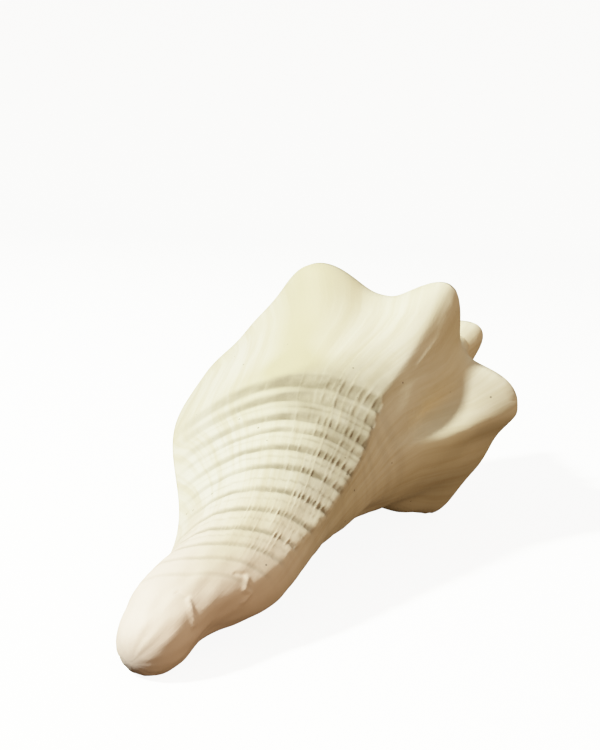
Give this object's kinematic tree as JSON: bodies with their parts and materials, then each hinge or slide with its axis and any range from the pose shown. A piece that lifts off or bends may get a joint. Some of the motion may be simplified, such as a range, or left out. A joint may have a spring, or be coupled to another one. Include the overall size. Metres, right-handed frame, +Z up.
{
  "type": "conch shell",
  "caption": "Large knobbed conch shell lying mouth down, with a tapering canal, corded last whorl, stepped knobby spire and flared outer lip.",
  "frame": {"origin": "middle of the bounding box, on the surface that the shell rests on", "axes": "+X from the canal tip towards the apex, +Y towards the outer lip, +Z up"},
  "size_m": [0.223, 0.1258, 0.0964],
  "materials": {
    "shell_lime": "satin, bleached ivory shell"
  },
  "bodies": {
    "root": {"shell": "shell_lime"}
  },
  "joints": []
}
